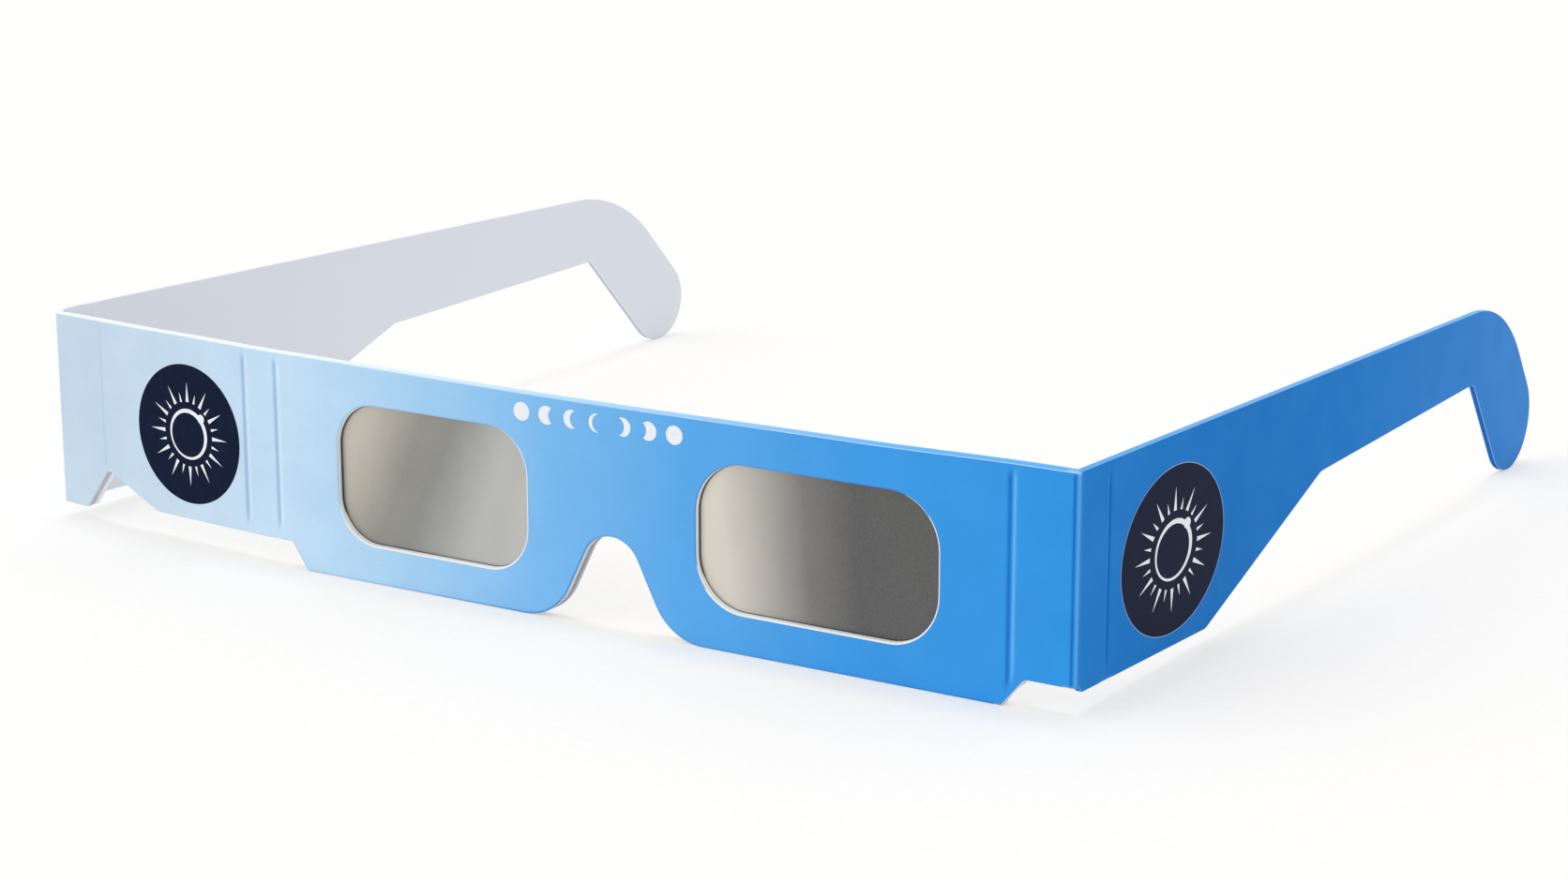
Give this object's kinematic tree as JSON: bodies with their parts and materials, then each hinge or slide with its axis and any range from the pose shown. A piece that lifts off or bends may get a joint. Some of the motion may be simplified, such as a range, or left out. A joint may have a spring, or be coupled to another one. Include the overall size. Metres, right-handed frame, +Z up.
{
  "type": "eclipse_glasses",
  "caption": "Card eclipse viewing glasses: glued double-ply card front with dark filter film windows, nose arch, scored folding wings and hooked card temples",
  "frame": {"origin": "middle of the part's box in X and Y, on the surface that the front's lower edge and the two hook tips stand on", "axes": "+Z up, -Y is the way the wearer looks (the printed side of the front faces -Y), +Y runs back along the temples, +X is to the right as seen from the front"},
  "size_m": [0.2092, 0.1884, 0.038],
  "materials": {
    "printed_card": "satin coated print",
    "plain_card": "matte uncoated",
    "glue": "clear dry adhesive",
    "tape": "matte",
    "filter_film": "metallised, grey, slightly wavy"
  },
  "bodies": {
    "front": {"front_card": "printed_card", "back_card": "plain_card", "glue_sheet": "glue", "left_filter_film": "filter_film", "left_film_tape": "tape", "right_filter_film": "filter_film", "right_film_tape": "tape", "left_score_inner": "printed_card", "right_wing_score": "printed_card"},
    "left_gusset": {"left_gusset_card": "printed_card", "left_gusset_liner": "plain_card", "left_gusset_glue": "glue", "left_score_outer": "printed_card"},
    "left_wing": {"left_wing_card": "printed_card", "left_wing_liner": "plain_card", "left_wing_glue": "glue", "left_corner_crease": "printed_card"},
    "left_root": {"left_temple_root": "printed_card", "left_temple_score": "printed_card"},
    "left_arm": {"left_temple": "printed_card"},
    "right_wing": {"right_wing_card": "printed_card", "right_wing_liner": "plain_card", "right_wing_glue": "glue", "right_corner_crease": "printed_card"},
    "right_root": {"right_temple_root": "printed_card", "right_temple_score": "printed_card"},
    "right_arm": {"right_temple": "printed_card"}
  },
  "joints": [
    {"name": "left_gusset_fold", "type": "hinge", "parent": "front", "child": "left_gusset", "pos_m": [-0.05076, -0.09359, 0.019], "axis": [0, 0, 1], "range_deg": [-27.63, 2.37]},
    {"name": "left_wing_fold", "type": "hinge", "parent": "left_gusset", "child": "left_wing", "pos_m": [-0.05795, -0.0933, 0.019], "axis": [0, 0, 1], "range_deg": [-27.63, 2.37]},
    {"name": "left_corner_fold", "type": "hinge", "parent": "left_wing", "child": "left_root", "pos_m": [-0.10399, -0.08948, 0.019], "axis": [0, 0, -1], "range_deg": [-88.2, 0]},
    {"name": "left_strap_fold", "type": "hinge", "parent": "left_root", "child": "left_arm", "pos_m": [-0.1036, -0.08209, 0.019], "axis": [0, 0, -1], "range_deg": [0, 85]},
    {"name": "right_wing_fold", "type": "hinge", "parent": "front", "child": "right_wing", "pos_m": [0.08925, -0.09359, 0.019], "axis": [0, 0, -1], "range_deg": [-60, 0]},
    {"name": "right_corner_fold", "type": "hinge", "parent": "right_wing", "child": "right_root", "pos_m": [0.09989, -0.09359, 0.019], "axis": [0, 0, 1], "range_deg": [-88.7, 0]},
    {"name": "right_strap_fold", "type": "hinge", "parent": "right_root", "child": "right_arm", "pos_m": [0.1001, -0.0847, 0.019], "axis": [0, 0, 1], "range_deg": [0, 91]}
  ]
}
